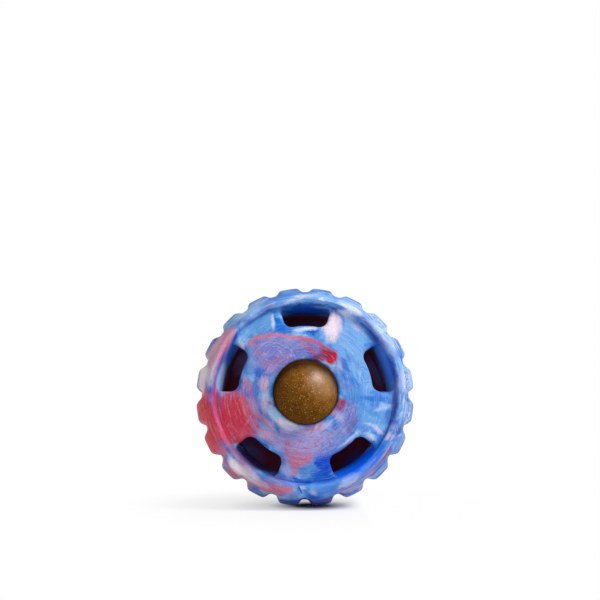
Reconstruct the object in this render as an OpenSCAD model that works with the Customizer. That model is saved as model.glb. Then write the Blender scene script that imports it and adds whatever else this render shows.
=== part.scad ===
// Treat dispensing ball: two moulded rubber halves, bonded at the middle of the tread, and a treat.
// Each half is one moulding, drawn as its tread, its slotted face and its hub, which meet without a gap.
// The ball's axis runs along Y and its front face looks towards -Y. The origin is the ball's centre.
// The pieces of a half are drawn with the seam on the XY plane and the face up, and are then turned into place.

/* [Tread] */
// Diameter over the tread's lugs
ball_d = 89; // [80:1:100]
// Width of the flat land along the middle of the tread
land_w = 4; // [2:0.5:6]
// Radius of the tread's shoulder, from the land down to the lip
shoulder_r = 38.5; // [34:0.5:43]
// Number of lugs round the tread, a multiple of 4 so that a notch lies at the bottom
lug_count = 20; // [16:4:24]
// Depth of the notches between the lugs
notch_depth = 2.75; // [2:0.25:4]
// Width of a notch at the lug tips
notch_top_w = 6.3; // [5.5:0.1:7.5]
// Width of a notch at its floor
notch_floor_w = 2.9; // [2.2:0.1:3.8]
// Rounding of the lugs' edges and of the notches' floors
notch_round = 1.2; // [0.6:0.1:1.4]

/* [Ring] */
// Thickness of the ring at the lip, from the lug tips inward
ring_t = 8.5; // [7:0.5:10]
// How far the ring's inner wall closes in from the lip to the seam
wall_draft = 3.5; // [1:0.25:4.5]
// Rounding of the lip
lip_round = 1.5; // [1:0.1:2]

/* [Face] */
// Height of the hub's rim above the seam
hub_h = 25.8; // [24:0.2:28]
// Radius of the domed face
face_r = 100; // [80:5:140]
// Thickness of the face
face_t = 4.5; // [3.5:0.25:6]

/* [Slots] */
// Number of slots in each face
slot_count = 5; // [4:1:6]
// Angle that one slot of the front face takes up, in degrees
front_slot_angle = 34; // [28:1:40]
// Angle that one slot of the rear face takes up, in degrees, short enough that no light shows through the ball
rear_slot_angle = 26; // [20:1:30]
// Width of a slot, from the ring's wall inward
slot_w = 9.3; // [8:0.1:10.5]
// Rounding of a slot's corners next to the hub
slot_in_round = 3.5; // [2.5:0.25:4]
// Rounding of a slot's corners next to the ring
slot_out_round = 3; // [2:0.25:4]
// Rounding of the face's edge round a slot
slot_edge = 1.5; // [0.6:0.1:1.8]

/* [Hub] */
// Thickness of the hub's wall round the pocket
hub_wall = 4.7; // [3.5:0.1:6]
// Rounding of the pocket's mouth
mouth_round = 1; // [0.5:0.1:1.5]
// Diameter of the throat behind the pocket
throat_d = 17; // [13:0.5:19]

/* [Treat] */
// Diameter of the treat
treat_d = 25.4; // [24:0.2:27]
// How far the treat's centre lies below the hub's rim
treat_sink = 1.2; // [0.5:0.1:3]
// Clearance round the treat in its pocket, on the radius
treat_fit = 0.1; // [0.05:0.01:0.1]
// Gap between the treat and the seat behind it
seat_gap = 0.3; // [0.2:0.05:0.5]

/* [Hidden] */
$fn = 180;

// Overrun of the cuts past the faces that they open
over = 1;

ball_r = ball_d / 2;
treat_r = treat_d / 2;
pocket_r = treat_r + treat_fit;
hub_r = pocket_r + hub_wall;
throat_r = throat_d / 2;

// The ring's section: a land, a shoulder arc that starts at the land's edge, a rounded lip and a sloping wall
lip_in_r = ball_r - ring_t;
shoulder_c = [ball_r - shoulder_r, land_w / 2];
lip_c_r = lip_in_r + lip_round;
lip_c_h = shoulder_c[1] + sqrt(pow(shoulder_r - lip_round, 2) - pow(lip_c_r - shoulder_c[0], 2));
lip_c = [lip_c_r, lip_c_h];
seam_in_r = lip_in_r - wall_draft;
lip_to_shoulder = (lip_c - shoulder_c) / norm(lip_c - shoulder_c);
lip_outer = lip_c + lip_round * lip_to_shoulder;
lip_inner = [lip_in_r, lip_c_h];

// The face's dome passes over the rounding of the pocket's mouth at the hub's height
mouth_c = [pocket_r + mouth_round, hub_h - mouth_round];
dome_c = [0, mouth_c[1] - sqrt(pow(face_r - mouth_round, 2) - pow(mouth_c[0], 2))];
mouth_top = dome_c + (mouth_c - dome_c) * face_r / (face_r - mouth_round);

// The treat's seat is a cone at 45 degrees, which the treat would touch if it sank by the seat's gap
treat_h = hub_h - treat_sink;
seat_top_h = treat_h + pocket_r - (treat_r + seat_gap) * sqrt(2);
seat_low_h = seat_top_h - (pocket_r - throat_r);

// Slots run from this radius to the ring's wall, and their corners start at these angles from their sides
slot_in_r = lip_in_r - slot_w;
in_turn = asin(slot_in_round / (slot_in_r + slot_in_round));
out_turn = asin(slot_out_round / (lip_in_r - slot_out_round));

// Where the points of a slot's curved sides lie, as shares of the angle from its middle to its corner
hub_side_shares = [0.2, 0.6];
ring_side_shares = [1, 0.3];

// Steps of a slot's rounded edge, as shares of its radius: outward from the slot, and down from the face
edge_shares = [[0, 1], [0.13, 0.5], [0.5, 0.13], [1.3, -0.2]];

// A notch's right side runs from its floor's corner at this slope from the radial direction
notch_floor_r = ball_r - notch_depth;
notch_slope = atan((notch_top_w - notch_floor_w) / 2 / notch_depth);
side_out = [cos(notch_slope), -sin(notch_slope)];
side_up = [sin(notch_slope), cos(notch_slope)];
floor_end = [notch_floor_w / 2, notch_floor_r];
floor_c = [notch_floor_w / 2 - notch_round * (1 - sin(notch_slope)) / cos(notch_slope),
           notch_floor_r + notch_round];
tip_line = floor_end + notch_round * side_out;
tip_run = sqrt(pow(tip_line * side_up, 2) - tip_line * tip_line + pow(ball_r - notch_round, 2))
          - tip_line * side_up;
tip_c = tip_line + tip_run * side_up;
tip_top = tip_c * ball_r / (ball_r - notch_round);

// Angles are measured from straight up, to the right
function polar(r, a) = [r * sin(a), r * cos(a)];
function arc(c, r, a0, a1, steps) = [for (i = [0:steps]) c + polar(r, a0 + (a1 - a0) * i / steps)];
function flip(p) = [-p[0], p[1]];
function mirrored(points) = [for (i = [len(points) - 1:-1:0]) flip(points[i])];
function dome_h(r) = dome_c[1] + sqrt(pow(face_r, 2) - pow(r, 2));

// Section of the tread ring, from the seam to the lip
module ring_section() {
    intersection() {
        union() {
            translate(shoulder_c) circle(r = shoulder_r);
            translate([seam_in_r, 0]) square([ball_r - seam_in_r, land_w / 2]);
        }
        polygon([[seam_in_r, 0], lip_inner, lip_outer, shoulder_c + 2 * (lip_outer - shoulder_c),
                 [2 * ball_r, 0]]);
    }
    translate(lip_c) circle(r = lip_round, $fn = 48);
}

// Section of the domed face, from the hub's outside to the ring's sloping wall
module face_section() {
    intersection() {
        difference() {
            translate(dome_c) circle(r = face_r);
            translate(dome_c) circle(r = face_r - face_t);
        }
        polygon([[hub_r, 0], [seam_in_r, 0], lip_inner, [hub_r, 2 * hub_h]]);
    }
}

// Section of the hub: a pocket with a rounded mouth, a sloping seat and half of the throat
module hub_section() {
    intersection() {
        translate(dome_c) circle(r = face_r);
        polygon([[throat_r, 0], [throat_r, seat_low_h], [pocket_r, seat_top_h], [pocket_r, mouth_c[1]],
                 mouth_top, [hub_r, hub_h], [hub_r, 0]]);
    }
    translate(mouth_c) circle(r = mouth_round, $fn = 48);
}

// Right half of a slot's outline, pointing up and grown by some width: from the hub's side to past the ring's wall
function slot_side(half, grow) =
    let (in_angle = half - in_turn, out_angle = half - out_turn)
    concat(
        [for (share = hub_side_shares) polar(slot_in_r - grow, share * in_angle)],
        arc(polar(slot_in_r + slot_in_round, in_angle), slot_in_round + grow, in_angle + 180, half + 90, 5),
        arc(polar(lip_in_r - slot_out_round, out_angle), slot_out_round + grow, half + 90, out_angle, 5),
        [for (share = ring_side_shares) polar(lip_in_r + over + grow, share * out_angle)]);
function slot_outline(half, grow) = let (side = slot_side(half, grow)) concat(side, mirrored(side));

// Cutter for one slot: an upright prism that flares at the face, to round the edge there
module slot_cutter(half) {
    low = [for (p = slot_outline(half, 0)) [p[0], p[1], 0]];
    edge = [for (share = edge_shares) for (p = slot_outline(half, share[0] * slot_edge))
            [p[0], p[1], dome_h(norm(p)) - share[1] * slot_edge]];
    high = [for (p = slot_outline(half, edge_shares[len(edge_shares) - 1][0] * slot_edge))
            [p[0], p[1], hub_h + over]];
    n = len(low);
    rings = len(edge_shares) + 2;
    walls = [for (k = [0:rings - 2]) for (i = [0:n - 1]) let (j = (i + 1) % n)
             each [[k * n + i, (k + 1) * n + i, k * n + j], [k * n + j, (k + 1) * n + i, (k + 1) * n + j]]];
    floor_face = [for (i = [0:n - 1]) i];
    top_face = [for (i = [n - 1:-1:0]) (rings - 1) * n + i];
    polyhedron(points = concat(low, edge, high), faces = concat([floor_face, top_face], walls));
}

// Right half of a notch's outline, pointing up: rounded at its floor, and flared to round the lug beside it
notch_side = concat(
    arc(floor_c, notch_round, 180, 90 + notch_slope, 4),
    arc(tip_c, notch_round, 270 + notch_slope, atan2(tip_c[0], tip_c[1]) + 360, 4),
    [tip_top * (ball_r + over) / ball_r]);

// Cutter for one notch, which runs along the ball's axis from the seam to the shoulder
module notch_cutter() {
    translate([0, 0, -over]) linear_extrude(height = lip_c_h + over)
        polygon(concat(notch_side, mirrored(notch_side)));
}

// Tread of one half: the ring with its notches
module tread() {
    difference() {
        rotate_extrude() ring_section();
        for (i = [0:lug_count - 1]) rotate(i * 360 / lug_count) notch_cutter();
    }
}

// Face of one half, with slots of that angle
module face(slot_angle) {
    difference() {
        rotate_extrude() face_section();
        for (i = [0:slot_count - 1]) rotate(i * 360 / slot_count) slot_cutter(slot_angle / 2);
    }
}

// The rear half is turned about X, which sets its slots halfway between those of the front
module front_tread() {
    color("cornflowerblue") rotate([90, 0, 0]) tread();
}

module front_face() {
    color("skyblue") rotate([90, 0, 0]) face(front_slot_angle);
}

module front_hub() {
    color("plum") rotate([90, 0, 0]) rotate_extrude() hub_section();
}

module rear_tread() {
    color("royalblue") rotate([-90, 0, 0]) tread();
}

module rear_face() {
    color("steelblue") rotate([-90, 0, 0]) face(rear_slot_angle);
}

module rear_hub() {
    color("palevioletred") rotate([-90, 0, 0]) rotate_extrude() hub_section();
}

module treat() {
    color("saddlebrown") translate([0, -treat_h, 0]) sphere(r = treat_r);
}

front_tread();
front_face();
front_hub();
rear_tread();
rear_face();
rear_hub();
treat();
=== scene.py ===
import math

import bmesh
import bpy
from mathutils import Matrix, Vector


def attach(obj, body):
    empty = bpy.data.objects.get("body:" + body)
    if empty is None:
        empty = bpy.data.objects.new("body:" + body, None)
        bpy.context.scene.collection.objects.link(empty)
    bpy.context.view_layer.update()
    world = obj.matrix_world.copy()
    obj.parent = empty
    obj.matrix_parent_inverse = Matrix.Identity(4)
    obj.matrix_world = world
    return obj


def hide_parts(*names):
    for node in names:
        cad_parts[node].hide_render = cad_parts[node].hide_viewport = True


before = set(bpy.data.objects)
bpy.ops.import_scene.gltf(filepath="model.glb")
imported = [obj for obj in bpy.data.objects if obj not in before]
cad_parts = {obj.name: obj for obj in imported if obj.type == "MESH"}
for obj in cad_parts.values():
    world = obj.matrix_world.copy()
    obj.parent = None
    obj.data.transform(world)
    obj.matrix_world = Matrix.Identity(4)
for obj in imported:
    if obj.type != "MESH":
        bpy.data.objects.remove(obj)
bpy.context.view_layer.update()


# ---- Front half shell ----
# One moulding of marbled natural rubber: a tread ring, a domed face with five slots and a hub with a pocket.
# It is compression moulded, so its edges are soft, and bonded to the rear half at the middle of the tread.
MM = 0.001

# The ring's section, in radius and height above the seam: a narrow land, a round shoulder, a lip, and a wall
# that draws in towards the seam in two slopes, with a fine nick where the halves meet
BALL_R, LAND = 44.5 * MM, 2 * MM
SHOULDER_C, SHOULDER_R = (6 * MM, 2 * MM), 38.5 * MM
LIP_C, LIP_R = (37.5 * MM, 21.41 * MM), 1.5 * MM
WALL_BEND, SEAM_IN_R = (33.2 * MM, 12.5 * MM), 32.5 * MM
SEAM_NICK = 0.18 * MM
SHOULDER_STEPS, LIP_STEPS, WALL_STEPS = 28, 12, 6

# Its lugs, the notches between them, and how softly a notch's floor, its sides and the lugs meet
LUGS, LUG_STEPS = 20, 30
NOTCH_FLOOR_R, NOTCH_FLOOR_W, NOTCH_SLOPE = 41.75 * MM, 2.9 * MM, math.radians(31.7)
NOTCH_SOFT, LUG_SOFT = 1.35 * MM, 2.2 * MM
# Where the steps of half a lug lie, in millimetres from its notch's middle: close together at the corners
LUG_PLACES = (0, 0.6, 1.05, 1.35, 1.6, 1.85, 2.15, 2.5, 2.8, 3.05, 3.3, 3.6, 4.1, 4.9, 5.9, 6.99)

# The domed face, which ends in the ring's wall, and the hub: the pocket with its mouth and sloping seat, and
# the throat behind it
DOME_C, DOME_R, FACE_T, RIM_R = -73.23 * MM, 100 * MM, 4.5 * MM, 37 * MM
MOUTH_C, MOUTH_R, MOUTH_STEPS = (13.8 * MM, 24.8 * MM), 1 * MM, 8
POCKET_R, THROAT_R, HUB_R = 12.8 * MM, 8.5 * MM, 17.5 * MM
SEAT_TOP, SEAT_LOW = 19.0 * MM, 14.7 * MM
# The point where the dome meets the rounding of the mouth
MOUTH_TOP = Vector((0, DOME_C)).lerp(Vector(MOUTH_C), DOME_R / (DOME_R - MOUTH_R))

# The slots, SLOT_HALF degrees to either side of their middle, their corners and the rounding of their edges
SLOTS, SLOT_HALF = 5, 17
SLOT_IN_R, SLOT_OUT_R = 26.7 * MM, 36 * MM
SLOT_IN_ROUND, SLOT_OUT_ROUND = 3.5 * MM, 3 * MM
SLOT_EDGE, EDGE_STEPS = 1.5 * MM, 6
UNDER_EDGE, UNDER_MID = 0.4 * MM, 0.12 * MM
# The steps of half a slot's outline, from the hub's side round to the rim's, and those of half the fifth of a
# face that lies round it. They add up to the same number.
HUB_SIDE, IN_CORNER, SLOT_SIDE, OUT_CORNER, RIM_SIDE = 9, 11, 6, 8, 12
HUB_STEPS, LAND_STEPS, RIM_STEPS = 20, 14, 12

# Edges that fold by more than this show as edges
CREASE = math.radians(38)


def polar(r, a):
    """A point at that radius and angle in degrees from straight up, to the right."""
    return Vector((r * math.sin(math.radians(a)), r * math.cos(math.radians(a))))


def arc(c, r, a0, a1, steps):
    """Points on an arc, both ends included."""
    return [Vector(c) + polar(r, a0 + (a1 - a0) * i / steps) for i in range(steps + 1)]


def soft_min(a, b, k):
    """The lower of two heights, rounded over where they meet."""
    h = max(k - abs(a - b), 0) / k
    return min(a, b) - h * h * k / 4


def notch_radius(a):
    """How far out a notch's floor and sides lie, at angle a from its middle."""
    side_c = NOTCH_FLOOR_W / 2 * math.cos(NOTCH_SLOPE) - NOTCH_FLOOR_R * math.sin(NOTCH_SLOPE)
    side = side_c / math.sin(min(a, NOTCH_SLOPE * 0.95) - NOTCH_SLOPE)
    return -soft_min(-NOTCH_FLOOR_R / math.cos(a), -side, NOTCH_SOFT)


def spin_section(bm, section, turn, steps, closed):
    """Turns a section of (radius, height) points about the axis, by that angle."""
    verts = [bm.verts.new((r, 0, h)) for r, h in section]
    pairs = zip(verts, verts[1:] + verts[:1] if closed else verts[1:])
    edges = [bm.edges.new(p) for p in pairs]
    bmesh.ops.spin(bm, geom=verts + edges, cent=(0, 0, 0), axis=(0, 0, 1), angle=turn, steps=steps)


def repeat_round(bm, count):
    """Copies all that is drawn round the axis, until there are that many, and joins them where they meet."""
    first = bm.verts[:] + bm.edges[:] + bm.faces[:]
    for i in range(1, count):
        copy = bmesh.ops.duplicate(bm, geom=first)["geom"]
        verts = [g for g in copy if isinstance(g, bmesh.types.BMVert)]
        turn = Matrix.Rotation(math.tau * i / count, 3, "Z")
        bmesh.ops.rotate(bm, verts=verts, cent=(0, 0, 0), matrix=turn)
    bmesh.ops.remove_doubles(bm, verts=bm.verts, dist=0.001 * MM)


def tread_ring():
    """The ring, a lug at a time: a spun section that is then pressed in at the notch on either side."""
    bm = bmesh.new()
    lip_turn = math.atan2(LIP_C[1] - SHOULDER_C[1], LIP_C[0] - SHOULDER_C[0])
    section = [(BALL_R, 0), (BALL_R, SEAM_NICK), (BALL_R, LAND * 0.4), (BALL_R, LAND * 0.7)]
    for i in range(SHOULDER_STEPS + 1):
        a = lip_turn * i / SHOULDER_STEPS
        section.append((SHOULDER_C[0] + SHOULDER_R * math.cos(a), SHOULDER_C[1] + SHOULDER_R * math.sin(a)))
    for i in range(1, LIP_STEPS + 1):
        a = lip_turn + (math.pi - lip_turn) * i / LIP_STEPS
        section.append((LIP_C[0] + LIP_R * math.cos(a), LIP_C[1] + LIP_R * math.sin(a)))
    for start, end in ((section[-1], WALL_BEND), (WALL_BEND, (SEAM_IN_R, 0))):
        section += [tuple(Vector(start).lerp(Vector(end), i / WALL_STEPS)) for i in range(1, WALL_STEPS + 1)]
    spin_section(bm, section, math.tau / LUGS, LUG_STEPS, True)
    for v in bm.verts:
        r, turn = math.hypot(v.co.x, v.co.y), math.atan2(v.co.y, v.co.x) / math.tau * LUGS
        lug = math.floor(turn + 0.5)
        step = abs(turn - lug) * LUG_STEPS
        off = LUG_PLACES[round(step)] / LUG_PLACES[-1] * math.pi / LUGS
        r = soft_min(r, notch_radius(off), LUG_SOFT)
        if v.co.z < SEAM_NICK / 2 and r > RIM_R:
            r -= SEAM_NICK
        a = lug * math.tau / LUGS + math.copysign(off, turn - lug)
        v.co.x, v.co.y = r * math.cos(a), r * math.sin(a)
    repeat_round(bm, LUGS)
    return bm


def both_sides(right):
    """A closed outline from its right half, which starts and ends on the middle line."""
    return right + [Vector((-p.x, p.y)) for p in right[-2:0:-1]]


def slot_outline(half, grow):
    """A slot's outline, grown by some width, in the same number of points whatever the growth."""
    in_turn = math.degrees(math.asin(SLOT_IN_ROUND / (SLOT_IN_R + SLOT_IN_ROUND)))
    out_turn = math.degrees(math.asin(SLOT_OUT_ROUND / (SLOT_OUT_R - SLOT_OUT_ROUND)))
    in_c = polar(SLOT_IN_R + SLOT_IN_ROUND, half - in_turn)
    out_c = polar(SLOT_OUT_R - SLOT_OUT_ROUND, half - out_turn)
    hub_side = arc((0, 0), SLOT_IN_R - grow, 0, half - in_turn, HUB_SIDE)
    in_corner = arc(in_c, SLOT_IN_ROUND + grow, half - in_turn + 180, half + 90, IN_CORNER)
    out_corner = arc(out_c, SLOT_OUT_ROUND + grow, half + 90, half - out_turn, OUT_CORNER)
    side = [in_corner[-1].lerp(out_corner[0], i / SLOT_SIDE) for i in range(1, SLOT_SIDE)]
    rim_side = arc((0, 0), SLOT_OUT_R + grow, half - out_turn, 0, RIM_SIDE)
    return both_sides(hub_side + in_corner[1:] + side + out_corner + rim_side[1:])


def sector_outline(hub_r):
    """The outline of the fifth of a face round one slot, point for point with the slot's own outline."""
    sector = 180 / SLOTS
    line = [hub_r + (RIM_R - hub_r) * i / LAND_STEPS for i in range(LAND_STEPS + 1)]
    right = arc((0, 0), hub_r, 0, sector, HUB_STEPS) + [polar(r, sector) for r in line[1:]]
    return both_sides(right + arc((0, 0), RIM_R, sector, 0, RIM_STEPS)[1:])


def dome(p, r, drop=0.0):
    """A point of the face, lifted to a dome of radius r about the face's centre."""
    return Vector((p.x, p.y, DOME_C + math.sqrt(r * r - p.length_squared) - drop))


def extrude_row(bm, loop, row):
    """Extrudes a closed loop of vertices to the places in row, and gives the new loop."""
    edges = [bm.edges.get((loop[i - 1], loop[i])) for i in range(len(loop))]
    old = set(loop)
    out = {}
    for g in bmesh.ops.extrude_edge_only(bm, edges=edges)["geom"]:
        if isinstance(g, bmesh.types.BMVert):
            out[next(e.other_vert(g) for e in g.link_edges if e.other_vert(g) in old)] = g
    for v, place in zip(loop, row):
        out[v].co = place
    return [out[v] for v in loop]


def face_and_hub(half):
    """The face, a fifth at a time, from its underside up the slot's wall to its top, and the hub it meets."""
    bm = bmesh.new()
    under_r = DOME_R - FACE_T
    slot, low, high = slot_outline(half, 0), sector_outline(HUB_R), sector_outline(MOUTH_TOP[0])
    # The underside, whose edge at the slot is a little rounded, and the lower half of the slot's wall
    wide = slot_outline(half, UNDER_EDGE)
    rows = [[dome(b.lerp(s, t), under_r) for s, b in zip(wide, low)] for t in (0, 0.2, 0.4, 0.6, 0.8, 1)]
    rows.append([dome(p, under_r, -UNDER_MID) for p in slot_outline(half, UNDER_MID)])
    rows.append([dome(p, under_r, -UNDER_EDGE) for p in slot])
    rows += [[dome(p, under_r).lerp(dome(p, DOME_R), t) for p in slot] for t in (0.3, 0.5)]
    # The rounding of the slot's upper edge, and the top, whose steps widen away from it
    for i in range(EDGE_STEPS + 1):
        a = math.pi / 2 * i / EDGE_STEPS
        grown = slot_outline(half, SLOT_EDGE * (1 - math.cos(a)))
        rows.append([dome(p, DOME_R, SLOT_EDGE * (1 - math.sin(a))) for p in grown])
    edge = slot_outline(half, SLOT_EDGE)
    for t in (0.05, 0.12, 0.22, 0.34, 0.48, 0.64, 0.82, 1):
        rows.append([dome(s.lerp(b, t), DOME_R) for s, b in zip(edge, high)])
    loop = [bm.verts.new(p) for p in rows[0]]
    for i in range(len(loop)):
        bm.edges.new((loop[i - 1], loop[i]))
    for row in rows[1:]:
        loop = extrude_row(bm, loop, row)
    repeat_round(bm, SLOTS)
    # The hub, from the pocket's mouth down its wall, seat and throat, and up its outer side to the face
    mouth_turn = math.degrees(math.atan2(MOUTH_TOP[0] - MOUTH_C[0], MOUTH_TOP[1] - MOUTH_C[1]))
    section = arc(MOUTH_C, MOUTH_R, mouth_turn, -90, MOUTH_STEPS)
    section += [(POCKET_R, SEAT_TOP + 3 * MM), (POCKET_R, SEAT_TOP + 0.4 * MM)]
    section += [(POCKET_R - 0.3 * MM, SEAT_TOP - 0.3 * MM), (THROAT_R + 0.5 * MM, SEAT_LOW + 0.5 * MM)]
    section += [(THROAT_R, SEAT_LOW - 0.6 * MM), (THROAT_R, SEAT_LOW / 2), (THROAT_R, 0)]
    section += [(HUB_R, 0), (HUB_R, SEAT_LOW / 2), (HUB_R, DOME_C + math.sqrt(under_r**2 - HUB_R**2))]
    spin_section(bm, section, math.tau, 2 * SLOTS * HUB_STEPS, False)
    bmesh.ops.remove_doubles(bm, verts=bm.verts, dist=0.01 * MM)
    bmesh.ops.bridge_loops(bm, edges=[e for e in bm.edges if e.is_boundary])
    return bm


def piece_from(name, bm):
    """The finished piece, smoothly shaded, from what was drawn."""
    for f in bm.faces:
        f.smooth = True
    mesh = bpy.data.meshes.new(name)
    bm.to_mesh(mesh)
    bm.free()
    piece = bpy.data.objects.new(name, mesh)
    bpy.context.scene.collection.objects.link(piece)
    return piece


def moulding(name, bm, turn):
    """A piece from a part drawn face up on the seam, which is turned about X into its place."""
    bmesh.ops.recalc_face_normals(bm, faces=bm.faces)
    bmesh.ops.rotate(bm, verts=bm.verts, cent=(0, 0, 0), matrix=Matrix.Rotation(turn, 3, "X"))
    for e in bm.edges:
        e.smooth = e.calc_face_angle(0) < CREASE
    return piece_from(name, bm)


def linear(code):
    """A colour as linear values, from its sRGB hex code."""
    parts = [int(code[i : i + 2], 16) / 255 for i in (0, 2, 4)]
    return tuple(c / 12.92 if c <= 0.04045 else ((c + 0.055) / 1.055) ** 2.4 for c in parts) + (1.0,)


def add(tree, kind, inputs=(), stops=(), out=None, **settings):
    """Adds one node with its settings, its inputs as links, values or colour codes, and a ramp's stops.

    It gives the output of that name, or else the first that the settings leave in use."""
    n = tree.nodes.new("ShaderNode" + kind)
    for key, value in settings.items():
        setattr(n, key, value)
    for key, value in dict(inputs).items():
        if isinstance(value, bpy.types.NodeSocket):
            tree.links.new(value, n.inputs[key])
        else:
            n.inputs[key].default_value = linear(value) if isinstance(value, str) else value
    for i, (place, colour) in enumerate(stops):
        e = n.color_ramp.elements[i] if i < 2 else n.color_ramp.elements.new(place)
        e.position, e.color = place, linear(colour) if isinstance(colour, str) else colour
    return n.outputs[out] if out else next(o for o in n.outputs if o.enabled)


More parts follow.
